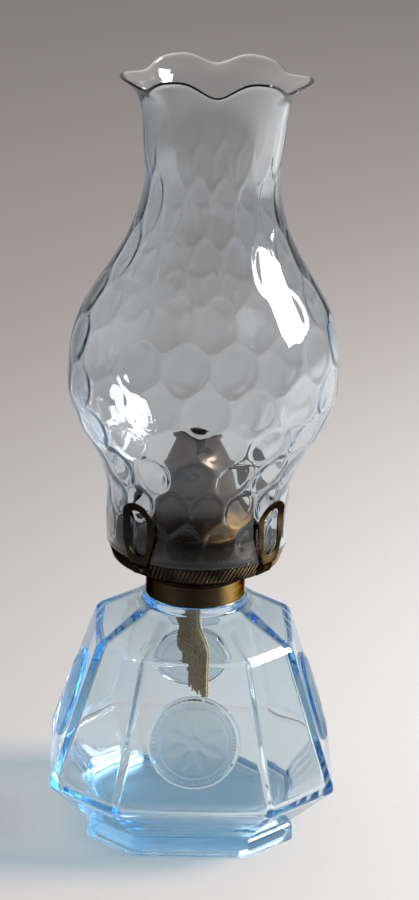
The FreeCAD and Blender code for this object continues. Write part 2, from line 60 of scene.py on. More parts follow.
# The room: a pale table top, one window on the right, and walls that are dark behind the camera
# and grey beyond the table. The table's colour holds painted shade: darker towards its far left and
# at its near end. It lies a hair below the lamp's foot, so that the two faces don't coincide.
table_size = 16.0
table_tone, table_speck, table_far_shade, table_shade = "#e3e0de", "#dcd9d7", "#c1bbb8", "#56524f"
speck_size, paint_rough, paint_shine = 3.0, 0.85, 0.15
far_way, far_start, far_end = (-0.8, 1.0, 0.0), 0.0, 850.0
shade_way, shade_start, shade_end = (0.0, -1.0, 0.0), 140.0, 420.0
table_gap = 0.05
window_place = Vector((1150.0, 0.0, 775.0)) * mm
window_aim = Vector((0.0, 0.0, 130.0)) * mm
window_width, window_height, window_power = 0.58, 0.48, 29.0
dark_wall, grey_wall = "#4a4e55", "#a5a2a0"
grey_way, grey_start, grey_end = (0.0, 0.92, 0.38), -0.4, 1.0


def tint(code):
    """An sRGB hex colour as a linear one."""
    parts = [int(code[i:i + 2], 16) / 255 for i in (1, 3, 5)]
    return [part / 12.92 if part <= 0.04045 else ((part + 0.055) / 1.055) ** 2.4 for part in parts] + [1.0]


def add(tree, kind, inputs=None, **settings):
    """Adds a node. An input that is given a node or a socket is linked, and any other is set."""
    node = tree.nodes.new(kind)
    for name, value in settings.items():
        setattr(node, name, value)
    for name, value in (inputs or {}).items():
        if isinstance(value, bpy.types.Node):
            value = value.outputs[0]
        if isinstance(value, bpy.types.NodeSocket):
            tree.links.new(value, node.inputs[name])
        else:
            node.inputs[name].default_value = value
    return node


def new_material(name):
    material = bpy.data.materials.new(name)
    material.use_nodes = True
    material.node_tree.nodes.clear()
    return material, material.node_tree


def object_place(tree):
    return add(tree, "ShaderNodeTexCoord").outputs["Object"]


def new_piece(name, points, faces, materials):
    """A mesh object at the origin, from points in metres."""
    mesh = bpy.data.meshes.new(name)
    mesh.from_pydata([tuple(point) for point in points], [], faces)
    for material in materials:
        mesh.materials.append(material)
    piece = bpy.data.objects.new(name, mesh)
    bpy.context.scene.collection.objects.link(piece)
    return piece


# Matt white paint on board, rolled on: it spreads the light evenly, with faint specks, no shine and painted
# shade.
paint, tree = new_material("matt_paint_with_painted_shade")
specks = add(tree, "ShaderNodeTexNoise", {"Vector": object_place(tree), "Scale": 1 / (speck_size * mm)})
tone = add(tree, "ShaderNodeMix", {"Factor": specks.outputs["Fac"], "A": tint(table_tone),
                                   "B": tint(table_speck)}, data_type="RGBA")
shaded = tone.outputs["Result"]
# Painted shade: the table's colour darkens towards its far left and towards its near end.
for way, start, end, code in ((far_way, far_start, far_end, table_far_shade),
                              (shade_way, shade_start, shade_end, table_shade)):
    along = add(tree, "ShaderNodeVectorMath", {0: object_place(tree), 1: way}, operation="DOT_PRODUCT")
    reach = add(tree, "ShaderNodeMapRange", {"Value": along.outputs["Value"], "From Min": start * mm,
                                             "From Max": end * mm}, interpolation_type="SMOOTHSTEP")
    shaded = add(tree, "ShaderNodeMix", {"Factor": reach, "A": shaded, "B": tint(code)},
                 data_type="RGBA").outputs["Result"]
add(tree, "ShaderNodeOutputMaterial", {"Surface": add(tree, "ShaderNodeBsdfPrincipled", {
    "Base Color": shaded, "Roughness": paint_rough, "Specular IOR Level": paint_shine})})
half, top = table_size / 2, -table_gap * mm
corners = [(-half, -half, top), (half, -half, top), (half, half, top), (-half, half, top)]
table = new_piece("table_top", corners, [(0, 1, 2, 3)], [paint])

window = bpy.data.objects.new("window", bpy.data.lights.new("window", "AREA"))
window.data.shape = "RECTANGLE"
window.data.size, window.data.size_y = window_width, window_height
window.data.energy = window_power
window.location = window_place
window.rotation_euler = (window_aim - window_place).to_track_quat("-Z", "Y").to_euler()
bpy.context.scene.collection.objects.link(window)

world = bpy.data.worlds.new("room")
world.use_nodes = True
world.node_tree.nodes.clear()
seen = add(world.node_tree, "ShaderNodeTexCoord").outputs["Generated"]
towards = add(world.node_tree, "ShaderNodeVectorMath", {0: seen, 1: grey_way}, operation="DOT_PRODUCT")
share = add(world.node_tree, "ShaderNodeMapRange", {
    "Value": towards.outputs["Value"], "From Min": grey_start, "From Max": grey_end})
walls = add(world.node_tree, "ShaderNodeMix", {
    "Factor": share, "A": tint(dark_wall), "B": tint(grey_wall)}, data_type="RGBA")
add(world.node_tree, "ShaderNodeOutputWorld", {"Surface": add(world.node_tree, "ShaderNodeBackground", {
    "Color": walls.outputs["Result"], "Strength": 1.0})})
bpy.context.scene.world = world

# Light is reflected many times inside the font's edges, and each reflection counts as a bounce.
scene = bpy.context.scene
scene.view_settings.view_transform = "Standard"
scene.cycles.max_bounces = 48
scene.cycles.transmission_bounces = 32
scene.cycles.glossy_bounces = 32
scene.cycles.transparent_max_bounces = 24
scene.cycles.caustics_reflective = False
scene.cycles.caustics_refractive = False
scene.cycles.sample_clamp_indirect = 25.0
scene.cycles.use_denoising = True


# The oil font: pale blue soda-lime glass, pressed hot in a mould, so its corners are soft from the
# fire and its faces a little wavy. It is one closed skin, from under the foot to the cavity's floor.
foot_half, foot_height, foot_recess, foot_rim = 44.5, 6.8, 1.2, 7.0
groove_half, groove_z = 42.9, 8.6
girdle_half, girdle_low_z, girdle_high_z = 61.1, 27.5, 29.9
break_half, break_low_z, break_z, break_high_z = 42.1, 88.7, 89.8, 90.9
shoulder_half, shoulder_z = 25.7, 101.7
neck_radius, neck_z = 22.6, 106.6
stub_radius, mouth_radius, stub_z = 19.7, 16.975, 113.4
font_wall, cavity_floor_z, cavity_end_z = 4.4, 10.0, 97.3
neck_low_rise, bore_end_rise, cavity_start_rise, cavity_girdle_rise = 1.6, 3.0, 2.0, 1.2
pole_half, wide_face_share = 1.0, 0.564
recess_fillet, rest_fillet, foot_fillet, step_fillet, groove_fillet = 0.5, 0.4, 1.4, 1.3, 0.7
girdle_fillet, break_fillet, shoulder_fillet, neck_low_fillet, neck_fillet = 0.8, 0.7, 1.6, 1.2, 0.8
stub_low_fillet, stub_fillet, bore_fillet = 0.3, 0.6, 1.0
ceiling_fillet, cavity_break_fillet, cavity_girdle_fillet, floor_fillet = 1.4, 1.2, 3.0, 4.5
corner_facet, corner_soft, cavity_facet, cavity_soft = 0.4, 0.3, 0.8, 0.6
shoulder_facet, shoulder_soft = 6 * corner_facet, 4 * corner_soft
most_facet, most_soft = 0.1, 0.04
shoulder_roundness, cavity_roundness, ceiling_roundness = 0.35, 0.15, 0.3
flat_points, soft_points = 9, 5
row_step, fillet_points, font_crease = 4.0, 6, 32
wave_size, wave_up_share, outside_wave, cavity_wave, wave_seed = 22.0, 0.4, 0.05, 0.35, 4
glass_index, frost_rough, frost_tone = 1.52, 0.5, "#cdd5d9"
worn_share, worn_height = 0.95, 0.05
font_blue, font_depth, font_shade = "#4acef1", 24.0, "#f6f7f8"
font_ripple, font_ripple_size = 0.05, 12.0


def glass(name, blue, depth, shade, ripple, ripple_size, frost=0.0):
    """Glass that soaks up red along its depth. Light on its way from a lamp, or from a matt surface,
    passes straight through it, dimmed by its shade. Its frost attribute says where it is frosted."""
    material, tree = new_material(name)
    ripples = add(tree, "ShaderNodeTexNoise", {
        "Vector": object_place(tree), "Scale": 1 / (ripple_size * mm), "Detail": 1.0})
    bump = add(tree, "ShaderNodeBump", {"Height": ripples.outputs["Fac"], "Distance": ripple * mm,
                                        "Strength": 1.0})
    body = add(tree, "ShaderNodeBsdfPrincipled", {
        "Base Color": tint("#ffffff"), "Roughness": 0.0, "IOR": glass_index,
        "Transmission Weight": 1.0, "Normal": bump})
    if frost:
        frosted = add(tree, "ShaderNodeAttribute", attribute_name="frost").outputs["Fac"]
        rough = add(tree, "ShaderNodeMath", {0: frosted, 1: frost}, operation="MULTIPLY")
        tree.links.new(rough.outputs[0], body.inputs["Roughness"])
        misty = add(tree, "ShaderNodeMix", {
            "Factor": frosted, "A": tint("#ffffff"), "B": tint(frost_tone)}, data_type="RGBA")
        tree.links.new(misty.outputs["Result"], body.inputs["Base Color"])
    path = add(tree, "ShaderNodeLightPath").outputs
    straight = add(tree, "ShaderNodeMath", {0: path["Is Shadow Ray"], 1: path["Is Diffuse Ray"]},
                   operation="MAXIMUM")
    lit = add(tree, "ShaderNodeMixShader", {
        0: straight, 1: body, 2: add(tree, "ShaderNodeBsdfTransparent", {"Color": tint(shade)})})
    soak = add(tree, "ShaderNodeVolumeAbsorption", {"Color": tint(blue), "Density": depth})
    add(tree, "ShaderNodeOutputMaterial", {"Surface": lit, "Volume": soak})
    return material


def section(half, z, facet, soft, roundness):
    """One level of the font, in millimetres: a square with cut corners, whose eight corners are soft
    narrow facets. Roundness draws it towards its circle."""
    flat = wide_face_share * half
    corners = [Vector(place) for place in (
        (-flat, -half), (flat, -half), (half, -flat), (half, flat),
        (flat, half), (-flat, half), (-half, flat), (-half, -flat))]
    facet, soft = min(facet, most_facet * half), min(soft, most_soft * half)
    edges = []
    for index, place in enumerate(corners):
        before = (corners[index - 1] - place).normalized()
        after = (corners[(index + 1) % 8] - place).normalized()
        first, second = place + before * facet, place + after * facet
        across = (second - first).normalized()
        edges.append([first + before * soft * (1 - t) ** 2 + across * soft * t ** 2
                      for t in np.linspace(0, 1, soft_points)]
                     + [second - across * soft * (1 - t) ** 2 + after * soft * t ** 2
                        for t in np.linspace(0, 1, soft_points)])
    ring = []
    for index, arc in enumerate(edges):
        following = edges[(index + 1) % 8][0]
        shares = [step / (flat_points + 1) for step in range(1, flat_points + 1)]
        ring += arc + [arc[-1].lerp(following, share) for share in shares]
    return [(*point.lerp(point.normalized() * half, roundness), z) for point in ring]


def filleted(corners):
    """Rows (half, z, facet, soft, roundness) along an outline of the same with a fillet after z."""
    rows = [(*corners[0][:2], *corners[0][3:])]
    for before, corner, after in zip(corners, corners[1:], corners[2:]):
        place, fillet = Vector(corner[:2]), corner[2]
        into = (Vector(before[:2]) - place).normalized() * fillet
        out = (Vector(after[:2]) - place).normalized() * fillet
        for t in np.linspace(0, 1, fillet_points):
            rows.append((*(place + into * (1 - t) ** 2 + out * t ** 2), *corner[3:]))
    rows.append((*corners[-1][:2], *corners[-1][3:]))
    filled = [rows[0]]
    for low, high in zip(rows, rows[1:]):
        count = max(1, round((Vector(high[:2]) - Vector(low[:2])).length / row_step))
        for step in range(1, count + 1):
            filled.append(tuple(start + (end - start) * step / count for start, end in zip(low, high)))
    return filled


def skin_faces(rows, columns, closed=False):
    """Quads over rows of closed rings. A closed skin's last row joins its first."""
    faces = []
    for row in range(rows if closed else rows - 1):
        above = (row + 1) % rows
        for column in range(columns):
            beside = (column + 1) % columns
            faces.append((row * columns + column, row * columns + beside,
                          above * columns + beside, above * columns + column))
    return faces


def capped(name, rings, materials):
    """A closed piece from rings in millimetres, with a pole in the middle of its first and last ring."""
    columns = len(rings[0])
    points = [Vector(point) * mm for ring in rings for point in ring]
    faces = skin_faces(len(rings), columns)
    for start, pole in ((0, len(points)), ((len(rings) - 1) * columns, len(points) + 1)):
        middle = sum(points[start:start + columns], Vector()) / columns
        points.append(middle)
        for column in range(columns):
            pair = (start + column, start + (column + 1) % columns)
            faces.append((pole, *reversed(pair)) if start == 0 else (*pair, pole))
    return new_piece(name, points, faces, materials)


def smooth(piece, angle=35.0):
    piece.data.shade_smooth()
    piece.data.set_sharp_from_angle(angle=math.radians(angle))
    return piece


# The waves' noise takes its place from this seed, and without one from the clock.
noise.seed_set(wave_seed)


def wavy(point, depth):
    """A point in millimetres, moved by a slow unevenness of the glass."""
    place = Vector(point)
    shift = noise.noise_vector(place / wave_size)
    return place + Vector((shift.x, shift.y, shift.z * wave_up_share)) * depth


def on_side(low, high, z):
    """The half width at z on the straight line between two (half, z) places."""
    return low[0] + (high[0] - low[0]) * (z - low[1]) / (high[1] - low[1])


def font_rows():
    """The outline of the font's glass, from under the foot, over the outside, to the cavity's floor."""
    facet, neck = (corner_facet, corner_soft, 0), (corner_facet, corner_soft, 1)
    inner = (cavity_facet, cavity_soft, cavity_roundness)
    girdle, brim, shoulder = (girdle_half, girdle_high_z), (break_half, break_z), (shoulder_half, shoulder_z)
    outside = filleted([
        (pole_half, foot_recess, 0, *facet),
        (foot_half - foot_rim, foot_recess, recess_fillet, *facet),
        (foot_half - foot_rim, 0, rest_fillet, *facet),
        (foot_half, 0, foot_fillet, *facet),
        (foot_half, foot_height, step_fillet, *facet),
        (groove_half, groove_z, groove_fillet, *facet),
        (girdle_half, girdle_low_z, girdle_fillet, *facet),
        (*girdle, girdle_fillet, *facet),
        (on_side(girdle, brim, break_low_z), break_low_z, break_fillet, *facet),
        (on_side(brim, shoulder, break_high_z), break_high_z, break_fillet, *facet),
        (*shoulder, shoulder_fillet, shoulder_facet, shoulder_soft, shoulder_roundness),
        (neck_radius, shoulder_z + neck_low_rise, neck_low_fillet, *neck),
        (neck_radius, neck_z, neck_fillet, *neck),
        (stub_radius, neck_z, stub_low_fillet, *neck),
        (stub_radius, stub_z, stub_fillet, *neck),
        (mouth_radius, stub_z, stub_fillet, *neck),
        (mouth_radius, cavity_end_z + bore_end_rise, bore_fillet, *neck)])
    inside = filleted([
        (mouth_radius, cavity_end_z + cavity_start_rise, 0, cavity_facet, cavity_soft, 1),
        (stub_radius, cavity_end_z, ceiling_fillet, cavity_facet, cavity_soft, ceiling_roundness),
        (break_half - font_wall, break_z - font_wall / 2, cavity_break_fillet, *inner),
        (girdle_half - font_wall, girdle_high_z + cavity_girdle_rise, cavity_girdle_fillet, *inner),
        (girdle_half - font_wall, girdle_low_z, cavity_girdle_fillet, *inner),
        (groove_half - font_wall, cavity_floor_z, floor_fillet, *inner),
        (pole_half, cavity_floor_z, 0, *inner)])
    return outside, inside


def font_ring(level, depth):
    """One level's points, uneven in all but the foot and the neck."""
    half, z = level[:2]
    from_neck = min(1.0, max(0.0, (half - neck_radius) / font_wall))
    from_foot = min(1.0, max(0.0, z / foot_height - 1))
    return [wavy(point, depth * (from_neck * from_foot)) for point in section(*level)]


# Soda-lime glass, pressed in an iron mould and fire polished: clear faces with a slow ripple,
# edges that look deep blue because the eye sees along them, and misty frosted fields.
clear_blue = glass("pressed_blue_glass", font_blue, font_depth, font_shade, font_ripple, font_ripple_size,
                   frost_rough)
outside_rows, inside_rows = font_rows()
font_rings = [font_ring(level, outside_wave) for level in outside_rows]
font_rings += [font_ring(level, cavity_wave) for level in inside_rows]
font_glass = capped("font_glass_body", font_rings, [clear_blue])


# The four medallions: low round tablets that the mould leaves on the wide faces, with a polished
# rim, a ring of small beads and a frosted field. The field bears a plain eight-petalled rosette.
disc_radius, disc_rim, disc_root = 19.9, 1.7, 1.5
field_height, rim_height = 0.9, 1.6
bead_low, bead_high, bead_count, bead_height = 16.7, 17.9, 72, 0.4
petal_count, petal_start, petal_end, petal_height = 8, 3.4, 13.2, 0.2
boss_radius, boss_height = 2.6, 0.3
line_radius, line_width, line_height = 14.8, 0.45, 0.3
rim_low_share, petal_swell, petal_width, ridge_sharpness = 0.2, 0.7, 0.46, 1.5
spokes, ring_step, edge_margin, edge_steps = 288, 0.5, 0.3, (0.15, 0.02)
disc_share = 0.463
disc_z = girdle_high_z + disc_share * (break_z - girdle_high_z)
disc_half = on_side((girdle_half, girdle_high_z), (break_half, break_z), disc_z)
face_lean = math.atan2(girdle_half - break_half, break_z - girdle_high_z)


def bump_share(distance, width):
    """A rounded ridge: 1 on its line, 0 at its width and past it."""
    return math.cos(min(1.0, abs(distance) / width) * math.pi / 2) ** ridge_sharpness


def disc_height(radius, angle):
    """The height of a medallion's face over the glass, in millimetres."""
    if radius > disc_radius - disc_rim:
        across = (disc_radius - disc_rim / 2 - radius) / (disc_rim / 2)
        low = field_height * rim_low_share
        return low + (rim_height - low) * math.sqrt(max(0.0, 1 - across ** 2))
    height = field_height + line_height * bump_share(radius - line_radius, line_width)
    if bead_low < radius < bead_high:
        middle = (bead_low + bead_high) / 2
        bead = max(0.0, math.cos(bead_count * angle))
        height += bead_height * bead * bump_share(radius - middle, (bead_high - bead_low) / 2)
    if petal_start < radius < petal_end:
        along = (radius - petal_start) / (petal_end - petal_start)
        turn = (angle * petal_count / (2 * math.pi)) % 1 - 0.5
        half_width = petal_width * math.sin(math.pi * along ** petal_swell)
        if half_width > 0 and abs(turn) < half_width:
            crown = 1 - (turn / half_width) ** 2
            height += petal_height * crown * math.sin(math.pi * along) ** 0.5
    if radius < boss_radius:
        height += boss_height * math.sqrt(1 - (radius / boss_radius) ** 2)
    return height


def medallion(name, side):
    """One medallion, closed at its back inside the glass, on the wide face of that side."""
    radii = [ring_step * (step + 1) for step in range(int((disc_radius - edge_margin) / ring_step))]
    radii += [disc_radius - step for step in edge_steps]
    angles = [2 * math.pi * spoke / spokes for spoke in range(spokes)]
    rings = [[(radius * math.cos(turn), radius * math.sin(turn), disc_height(radius, turn))
              for turn in angles] for radius in radii]
    rings += [[(disc_radius * math.cos(turn), disc_radius * math.sin(turn), z) for turn in angles]
              for z in (0.0, -disc_root)]
    disc = capped(name, rings[::-1], [clear_blue])
    disc.data.transform(Matrix.Rotation(math.radians(90 * side), 4, "Z")
                        @ Matrix.Translation(Vector((0, -disc_half, disc_z)) * mm)
                        @ Matrix.Rotation(math.pi / 2 - face_lean, 4, "X"))
    return disc


def frost_share(point):
    """1 on a medallion's field, which stands proud of its wide face, and on the foot's worn
    underside, and 0 elsewhere."""
    if point.z < (foot_recess + worn_height) * mm:
        return worn_share
    near, far = sorted((abs(point.x) / mm, abs(point.y) / mm))
    up = point.z / mm - disc_z
    proud = (far - disc_half) * math.cos(face_lean) + up * math.sin(face_lean)
    away = math.hypot(near, up / math.cos(face_lean))
    return float(proud > field_height / 2 and away < disc_radius - disc_rim)


def baked(piece):
    """The piece with its modifiers' result as its plain mesh, and no modifier left."""
    bpy.context.view_layer.update()
    result = bpy.data.meshes.new_from_object(piece.evaluated_get(bpy.context.evaluated_depsgraph_get()))
    piece.modifiers.clear()
    piece.data = result
    return piece


for side in range(4):
    disc = medallion("medallion_" + str(side), side)
    union = font_glass.modifiers.new("press", "BOOLEAN")
    union.operation = "UNION"
    union.solver = "EXACT"
    union.object = disc
    baked(font_glass)
    bpy.data.objects.remove(disc)
smooth(font_glass, font_crease)
frost = font_glass.data.attributes.new("frost", "FLOAT", "POINT")
for vertex, value in zip(font_glass.data.vertices, frost.data):
    value.value = frost_share(vertex.co)
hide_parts("font_glass")
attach(font_glass, "font")


# The collar: pressed brass set in plaster on the font's neck, the best kept metal of the lamp.
# Its right side shines golden, and the rest is brown with handling and dark with painted shade.
weld, flat_angle = 0.001, 0.3
mark_size, mark_share, mark_low, mark_high = 0.7, 0.25, 0.3, 0.7
bare_low, bare_high = 0.7, 1.0
brass_edge, grime_and_shade_tone = "#8d7c63", "#25221f"
cement_tone, cement_stain, cement_rough = "#d6cdbb", "#b3a68c", 0.9
cement_grain, cement_grain_height = 1.2, 0.15


def brass(name, dull, bright, golden, patch, rough_low, rough_high, scratch=0.008, grime_and_shade=None,
          edge=brass_edge):
    """Old sheet brass: patches of brown tarnish and of rubbed gold, under the fine rings that
    spinning leaves about the lamp's axis. Its grime and painted shade, a share from 0 to 1, blacken it."""
    material, tree = new_material(name)
    place = object_place(tree)
    flat = add(tree, "ShaderNodeVectorMath", {0: place, 1: (1.0, 1.0, 0.0)}, operation="MULTIPLY")
    radius = add(tree, "ShaderNodeVectorMath", {0: flat}, operation="LENGTH").outputs["Value"]
    height = add(tree, "ShaderNodeSeparateXYZ", {"Vector": place}).outputs["Z"]
    patches = add(tree, "ShaderNodeTexNoise", {
        "Vector": place, "Scale": 1 / (patch * mm), "Detail": 4.0, "Roughness": 0.5})
    rings = add(tree, "ShaderNodeCombineXYZ", {"X": radius, "Y": height})
    marks = add(tree, "ShaderNodeTexNoise", {"Vector": rings, "Scale": 1 / (mark_size * mm), "Detail": 3.0})
    both = add(tree, "ShaderNodeMath", {0: marks.outputs["Fac"], 1: mark_share, 2: patches.outputs["Fac"]},
               operation="MULTIPLY_ADD")
    rubbed = add(tree, "ShaderNodeMapRange", {
        "Value": both, "From Min": bare_low - golden, "From Max": bare_high - golden})
    tone = add(tree, "ShaderNodeMix", {"Factor": rubbed, "A": tint(dull), "B": tint(bright)},
               data_type="RGBA")
    # Painted shade on the lamp's left, and dirt in milled grooves, blacken the tone here.
    if grime_and_shade:
        black = grime_and_shade(tree, place, radius, height)
        tone = add(tree, "ShaderNodeMix", {
            "Factor": black, "A": tone.outputs["Result"], "B": tint(grime_and_shade_tone)}, data_type="RGBA")
    rough = add(tree, "ShaderNodeMapRange", {
        "Value": marks.outputs["Fac"], "From Min": mark_low, "From Max": mark_high,
        "To Min": rough_low, "To Max": rough_high})
    bump = add(tree, "ShaderNodeBump", {
        "Height": marks.outputs["Fac"], "Distance": scratch * mm, "Strength": 1.0})
    add(tree, "ShaderNodeOutputMaterial", {"Surface": add(tree, "ShaderNodeBsdfPrincipled", {
        "Base Color": tone.outputs["Result"], "Metallic": 1.0, "Roughness": rough, "Normal": bump,
        "Specular Tint": tint(edge)})})
    return material


def left_side_shade(start, end, most):
    """Painted shade that is thickest on the lamp's left and gone on its right, between two places on X."""
    def share(tree, place, radius, height):
        left = add(tree, "ShaderNodeSeparateXYZ", {"Vector": place}).outputs["X"]
        return add(tree, "ShaderNodeMapRange", {
            "Value": left, "From Min": start * mm, "From Max": end * mm, "To Min": most, "To Max": 0.0},
            interpolation_type="SMOOTHSTEP").outputs[0]
    return share


def finished(node, body, material, bevel=0.0, angle=35.0):
    """A welded copy of a CAD node in its finish, smooth over its curves, its sheared edges broken."""
    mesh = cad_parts[node].data.copy()
    mesh.materials.clear()
    mesh.materials.append(material)
    form = bmesh.new()
    form.from_mesh(mesh)
    bmesh.ops.remove_doubles(form, verts=form.verts, dist=weld * mm)
    bmesh.ops.dissolve_limit(form, angle_limit=math.radians(flat_angle), verts=form.verts, edges=form.edges)
    for face in form.faces:
        face.material_index = 0
    form.to_mesh(mesh)
    form.free()
    piece = bpy.data.objects.new(node + "_finish", mesh)
    bpy.context.scene.collection.objects.link(piece)
    smooth(piece, angle)
    if bevel:
        edges = piece.modifiers.new("edges", "BEVEL")
        edges.width = bevel * mm
        edges.segments = 2
        edges.limit_method = "ANGLE"
        edges.angle_limit = math.radians(angle)
        edges.harden_normals = True
        baked(piece)
    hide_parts(node)
    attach(piece, body)
    return piece


# Yellow brass, spun and polished by handling: satin gold with turning lines, and dark on the left
# with painted shade.
collar_brass = brass("collar_brass", dull="#5a4c36", bright="#bd9c5a", golden=0.3, patch=16.0,
                     rough_low=0.14, rough_high=0.3, scratch=0.02,
                     grime_and_shade=left_side_shade(start=9.0, end=16.5, most=0.93))
finished("collar", "font", collar_brass)

# Plaster of Paris, poured and set: chalky, grainy, and stained by lamp oil.
plaster, tree = new_material("plaster")
grains = add(tree, "ShaderNodeTexNoise", {
    "Vector": object_place(tree), "Scale": 1 / (cement_grain * mm), "Detail": 5.0})
tone = add(tree, "ShaderNodeMix", {"Factor": grains.outputs["Fac"], "A": tint(cement_tone),
                                   "B": tint(cement_stain)}, data_type="RGBA")
bump = add(tree, "ShaderNodeBump", {
    "Height": grains.outputs["Fac"], "Distance": cement_grain_height * mm, "Strength": 1.0})
add(tree, "ShaderNodeOutputMaterial", {"Surface": add(tree, "ShaderNodeBsdfPrincipled", {
    "Base Color": tone.outputs["Result"], "Roughness": cement_rough, "Normal": bump})})
finished("collar_cement", "font", plaster)


# The burner: sheet brass spun and pressed into a threaded skirt, a bowl, tubes and perforated
# plates, which are soldered together. Lamp oil and heat have turned it brown.
# Sheet brass, spun and left as spun: fine rings under a dull brown tarnish, with a little gold.
spun_brass = brass("spun_brass", dull="#231f1a", bright="#594a36", golden=0.12, patch=9.0,
                   rough_low=0.24, rough_high=0.42)
for node in ("burner_base", "air_bowl", "air_plate", "wick_tube", "vent_tube", "spur_housing",
             "spindle_sleeve"):
    finished(node, "burner", spun_brass)

# The same sheet on the dome plate, coloured nearly black and dull at every angle.
dome_brass = brass("dome_brass", dull="#16120e", bright="#2f2619", golden=0.1, patch=30.0,
                   rough_low=0.3, rough_high=0.45, scratch=0.01, edge="#2b241c")
finished("dome_plate", "burner", dome_brass)


# The gallery: a ring of sheet brass that carries the chimney on its ledge, inside a low upstand.
# Slanting grooves are milled round its band for a grip, and they have filled with old oil.
band_z, band_height, band_low_radius, band_high_radius = 124.2, 6.2, 36.0, 38.0
mill_count, mill_depth, mill_slant_share, mill_rows = 120, 0.45, 1.4, 5
ledge_z, upstand_z, burner_sheet = 130.4, 133.0, 0.6
upstand_radius, ledge_bore, band_bore_radius, rolled = 35.85, 33.65, 35.1, 0.12
clean_depth, black_depth, gallery_crease = 0.08, 0.3, 20


def groove_grime_and_left_shade(tree, place, radius, height):
    """Grime that fills the band's milled grooves, and painted shade that covers the band's left."""
    cone = add(tree, "ShaderNodeMapRange", {
        "Value": height, "From Min": band_z * mm, "From Max": (band_z + band_height) * mm,
        "To Min": band_low_radius * mm, "To Max": band_high_radius * mm})
    deep = add(tree, "ShaderNodeMath", {0: cone, 1: radius}, operation="SUBTRACT")
    groove = add(tree, "ShaderNodeMapRange", {
        "Value": deep, "From Min": clean_depth * mm, "From Max": black_depth * mm})
    # Painted shade on the band's left.
    left = left_side_shade(start=0.0, end=24.0, most=0.85)(tree, place, radius, height)
    return add(tree, "ShaderNodeMath", {0: groove, 1: left}, operation="MAXIMUM").outputs[0]


# Sheet brass, milled: ridges rubbed bright, black grooves, and painted shade on the band's left.
milled_brass = brass("milled_brass", dull="#3b342a", bright="#bba57f", golden=0.25, patch=12.0,
                     rough_low=0.2, rough_high=0.32, grime_and_shade=groove_grime_and_left_shade)


def gallery_rings():
    """The gallery's outline: up its slant-milled band, over the ledge and the upstand, down the bore."""
    outline = []
    for share in np.linspace(0, 1, mill_rows):
        radius = band_low_radius + share * (band_high_radius - band_low_radius)
        outline.append((1.0, share, radius, band_z + share * band_height))
    inside = upstand_radius - burner_sheet
    outline += [(0.0, 1.0, *place) for place in (
        (upstand_radius, ledge_z), (upstand_radius, upstand_z - rolled), (upstand_radius - rolled, upstand_z),
        (inside + rolled, upstand_z), (inside, upstand_z - rolled), (inside, ledge_z), (ledge_bore, ledge_z),
        (ledge_bore, ledge_z - burner_sheet), (band_bore_radius, ledge_z - burner_sheet))]
    outline.append((0.0, 0.0, band_bore_radius, band_z))
    rings = []
    for cut, share, radius, z in outline:
        ring = []
        for index in range(2 * mill_count):
            turn = math.pi / mill_count * (index + 2 * mill_slant_share * share)
            reach = radius - cut * (index % 2) * mill_depth
            ring.append((reach * math.sin(turn), -reach * math.cos(turn), z))
        rings.append(ring)
    return rings


gallery = gallery_rings()
gallery_ring = new_piece("milled_gallery", [Vector(point) * mm for ring in gallery for point in ring],
                         skin_faces(len(gallery), 2 * mill_count, closed=True), [milled_brass])
smooth(gallery_ring, gallery_crease)
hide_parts("gallery_ring")
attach(gallery_ring, "burner")


# The prongs: four strips of springy brass, each pierced to a loop, and riveted to the gallery.
# Their sheared edges are a little rounded.
prong_edge = 0.15
# Hard rolled sheet brass, stamped: an even brown, dull from handling, painted shade on the left.
prong_brass = brass("prong_brass", dull="#393026", bright="#7b6850", golden=0.1, patch=8.0,
                    rough_low=0.28, rough_high=0.42, grime_and_shade=left_side_shade(start=-30.0, end=10.0, most=0.75))
for node in ("prong_front_left", "prong_front_right", "prong_back_left", "prong_back_right"):
    finished(node, "burner", prong_brass, bevel=prong_edge)
# Brass wire, headed over cold: small brown heads that are rubbed golden in places.
rivet_brass = brass("rivet_brass", dull="#3a2d1c", bright="#7d6336", golden=0.1, patch=2.0,
                    rough_low=0.28, rough_high=0.42)
finished("prong_rivets", "burner", rivet_brass)


# The flame deflector: thin brass spun to a dome over the wick, with a slot for the flame. The
# flame has blackened its sides and browned its crown; its foot is dull gold, and painted shade darkens its
# left.
foot_tone, side_tone, crown_tone, tip_tone = "#7a5f3a", "#2b2118", "#43372c", "#54463d"
side_share, crown_share = 0.3, 0.75
foot_z, crown_z, stain_and_shade_way = 142.0, 172.0, (-0.5, 0.0, 1.0)
stain_size, stain_spread, stain_relief, heated_rough = 9.0, 16.0, 0.12, 0.42

# Sheet brass, spun and then heated by the flame: a dull, blotchy skin of oxides, and little shine.
heated, tree = new_material("heat_stained_brass")
place = object_place(tree)
# The stains rise with height; their lean towards the lamp's left is painted shade.
height = add(tree, "ShaderNodeVectorMath", {0: place, 1: stain_and_shade_way}, operation="DOT_PRODUCT").outputs["Value"]
stains = add(tree, "ShaderNodeTexNoise", {"Vector": place, "Scale": 1 / (stain_size * mm), "Detail": 5.0})
uneven = add(tree, "ShaderNodeMath", {0: stains.outputs["Fac"], 1: stain_spread * mm, 2: height},
             operation="MULTIPLY_ADD")
level = add(tree, "ShaderNodeMapRange", {"Value": uneven, "From Min": foot_z * mm, "From Max": crown_z * mm})
ramp = add(tree, "ShaderNodeValToRGB", {"Fac": level})
stops = ramp.color_ramp.elements
stops[0].color, stops[-1].color = tint(foot_tone), tint(tip_tone)
for position, code in ((side_share, side_tone), (crown_share, crown_tone)):
    stops.new(position).color = tint(code)
bump = add(tree, "ShaderNodeBump", {
    "Height": stains.outputs["Fac"], "Distance": stain_relief * mm, "Strength": 1.0})
